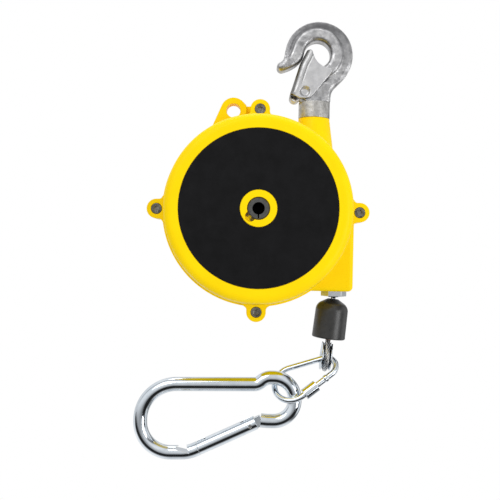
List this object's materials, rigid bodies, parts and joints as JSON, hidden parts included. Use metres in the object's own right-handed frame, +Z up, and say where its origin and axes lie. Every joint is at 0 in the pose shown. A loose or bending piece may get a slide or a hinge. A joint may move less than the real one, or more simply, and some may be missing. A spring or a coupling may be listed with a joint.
{
  "type": "spring tool balancer",
  "caption": "Round spring tool balancer with swivel safety hook, payout cable with buffer, screw-lock link and carabiner.",
  "frame": {"origin": "top of the hook's bowl, where the bar that carries the balancer rests, in the middle of the hook's thickness", "axes": "+Z up along the swivel stem; -Y towards the front cover; +X towards the cable outlet side"},
  "size_m": [0.1965, 0.114, 0.378],
  "materials": {
    "yellow_enamel": "glossy enamel on a casting",
    "black_label": "satin black plate",
    "zinc_screw": "zinc plated",
    "bright_steel": "polished plated steel",
    "turned_steel": "turned",
    "black_rubber": "moulded",
    "wire_rope": "galvanised wire rope",
    "copper_ferrule": "pressed",
    "drum_aluminium": "machined",
    "spring_steel": "blued strip",
    "bronze": "sintered",
    "hook_steel": "plated forging"
  },
  "bodies": {
    "hook": {"hook_body": "hook_steel", "swivel_collar": "turned_steel", "thrust_washer": "bronze", "castle_nut": "zinc_screw", "split_pin": "turned_steel"},
    "latch": {"hook_latch": "bright_steel"},
    "housing": {"front_cover": "yellow_enamel", "rear_housing": "yellow_enamel", "label_disc": "black_label", "cover_screws": "zinc_screw", "cable_guide_bush": "turned_steel", "arbor_circlip": "spring_steel"},
    "adjuster": {"arbor": "turned_steel", "worm_wheel": "bronze"},
    "worm": {"worm": "turned_steel"},
    "drum": {"drum": "drum_aluminium", "drum_bearings": "bronze", "spring_cover": "drum_aluminium", "spring_cover_screws": "zinc_screw", "power_spring": "spring_steel", "cable_windings": "wire_rope"},
    "cable": {"cable_run": "wire_rope"},
    "cable_end": {"buffer": "black_rubber", "ferrule": "copper_ferrule", "cable_eye": "wire_rope", "thimble": "bright_steel"},
    "link": {"link_body": "bright_steel", "link_gate": "bright_steel"},
    "sleeve": {"link_sleeve": "bright_steel"},
    "carabiner": {"carabiner_body": "bright_steel", "carabiner_pin": "turned_steel"},
    "gate": {"carabiner_gate": "bright_steel"}
  },
  "joints": [
    {"name": "swivel", "type": "hinge", "parent": "hook", "child": "housing", "pos_m": [0, 0, -0.066], "axis": [0, 0, 1], "continuous": true},
    {"name": "latch_hinge", "type": "hinge", "parent": "hook", "child": "latch", "pos_m": [-0.0088, 0, -0.0442], "axis": [0, 1, 0], "range_deg": [0, 28], "stiffness_Nm_per_rad": 0.1, "springref_deg": -28.65},
    {"name": "preload_adjust", "type": "hinge", "parent": "housing", "child": "adjuster", "pos_m": [-0.0467, 0, -0.147], "axis": [0, 1, 0], "range_deg": [0, 720]},
    {"name": "worm_turn", "type": "hinge", "parent": "housing", "child": "worm", "pos_m": [-0.0467, 0.044, -0.17175], "axis": [1, 0, 0], "range_deg": [0, 21600]},
    {"name": "cable_payout", "type": "slide", "parent": "housing", "child": "cable", "axis": [0, 0, -1], "range_m": [0, 3], "stiffness_N_per_m": 6, "springref_m": -10, "deforming": ["cable_run"]},
    {"name": "drum_turn", "type": "hinge", "parent": "housing", "child": "drum", "pos_m": [-0.0467, 0, -0.147], "axis": [0, 1, 0], "range_deg": [0, 2580]},
    {"name": "cable_swing", "type": "hinge", "parent": "cable", "child": "cable_end", "pos_m": [0.0201, 0, -0.2183], "axis": [0, 1, 0], "range_deg": [-20, 10]},
    {"name": "link_swing", "type": "hinge", "parent": "cable_end", "child": "link", "pos_m": [0.0133, 0, -0.278], "axis": [0, 1, 0], "range_deg": [-44, 10]},
    {"name": "sleeve_slide", "type": "slide", "parent": "link", "child": "sleeve", "axis": [0.7911, 0.1401, 0.5954], "range_m": [0, 0.008]},
    {"name": "carabiner_swing", "type": "hinge", "parent": "link", "child": "carabiner", "pos_m": [-0.0287, -0.00347, -0.305], "axis": [0, 1, 0], "range_deg": [-50, 20]},
    {"name": "gate_hinge", "type": "hinge", "parent": "carabiner", "child": "gate", "pos_m": [-0.0497, -0.00347, -0.3304], "axis": [0, 1, 0], "range_deg": [0, 25], "stiffness_Nm_per_rad": 0.15, "springref_deg": -22.92}
  ],
  "couplings": [
    {"joint": "worm_turn", "follows": "preload_adjust", "ratio": 30},
    {"joint": "drum_turn", "follows": "cable_payout", "rad_per_m": 14.97}
  ]
}
